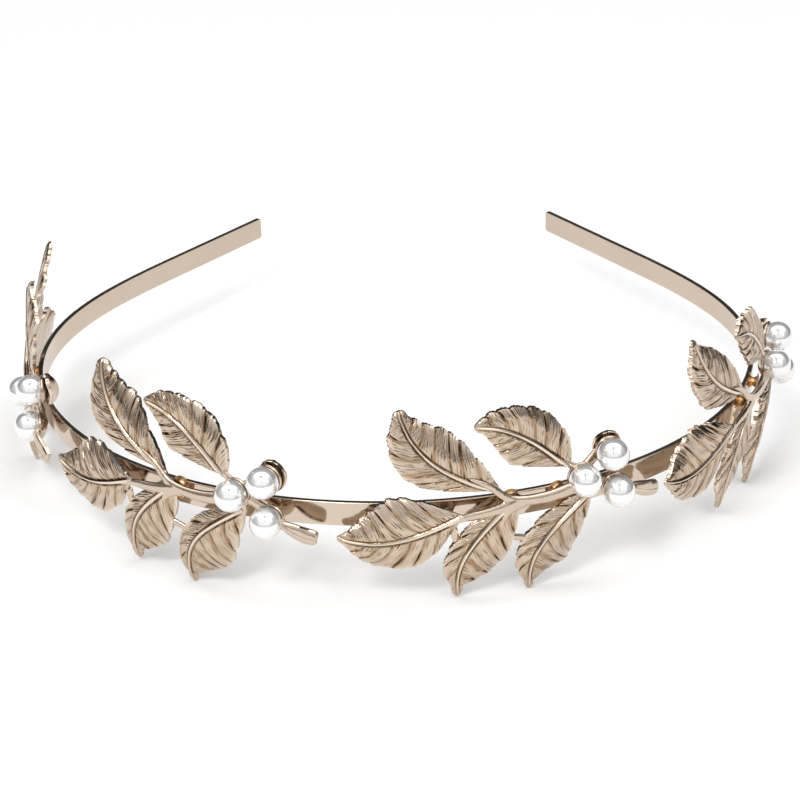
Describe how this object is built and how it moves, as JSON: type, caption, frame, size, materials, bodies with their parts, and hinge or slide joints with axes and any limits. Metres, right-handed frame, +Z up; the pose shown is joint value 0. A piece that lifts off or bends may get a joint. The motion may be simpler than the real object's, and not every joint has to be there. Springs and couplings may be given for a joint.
{
  "type": "bridal tiara",
  "caption": "Open sprung metal headband with cast leaf sprays soldered along its outer face, each spray holding a cluster of pearls in cups.",
  "frame": {"origin": "middle of the footprint, on the surface that the lowest leaf tips stand on", "axes": "+X across the head towards the wearer's left, +Y from the front of the band towards its open ends, +Z up, square to the band's plane"},
  "size_m": [0.1586, 0.1432, 0.0396],
  "materials": {
    "polished_plating": "polished champagne gold plating",
    "satin_plating": "satin champagne gold plating over a textured casting",
    "pearl": "glossy white pearl coating",
    "solder": "plated over, dull"
  },
  "bodies": {
    "root": {"headband": "polished_plating", "leaf_spray_1": "satin_plating", "pearl_1_inner": "pearl", "pearl_1_top": "pearl", "pearl_1_outer": "pearl", "solder_1_fork": "solder", "solder_1_stem": "solder", "leaf_spray_2": "satin_plating", "pearl_2_inner": "pearl", "pearl_2_top": "pearl", "pearl_2_outer": "pearl", "solder_2_fork": "solder", "solder_2_stem": "solder", "leaf_spray_3": "satin_plating", "pearl_3_inner": "pearl", "pearl_3_top": "pearl", "pearl_3_outer": "pearl", "solder_3_fork": "solder", "solder_3_stem": "solder", "leaf_spray_4": "satin_plating", "pearl_4_inner": "pearl", "pearl_4_top": "pearl", "pearl_4_outer": "pearl", "solder_4_fork": "solder", "solder_4_stem": "solder"}
  },
  "joints": []
}
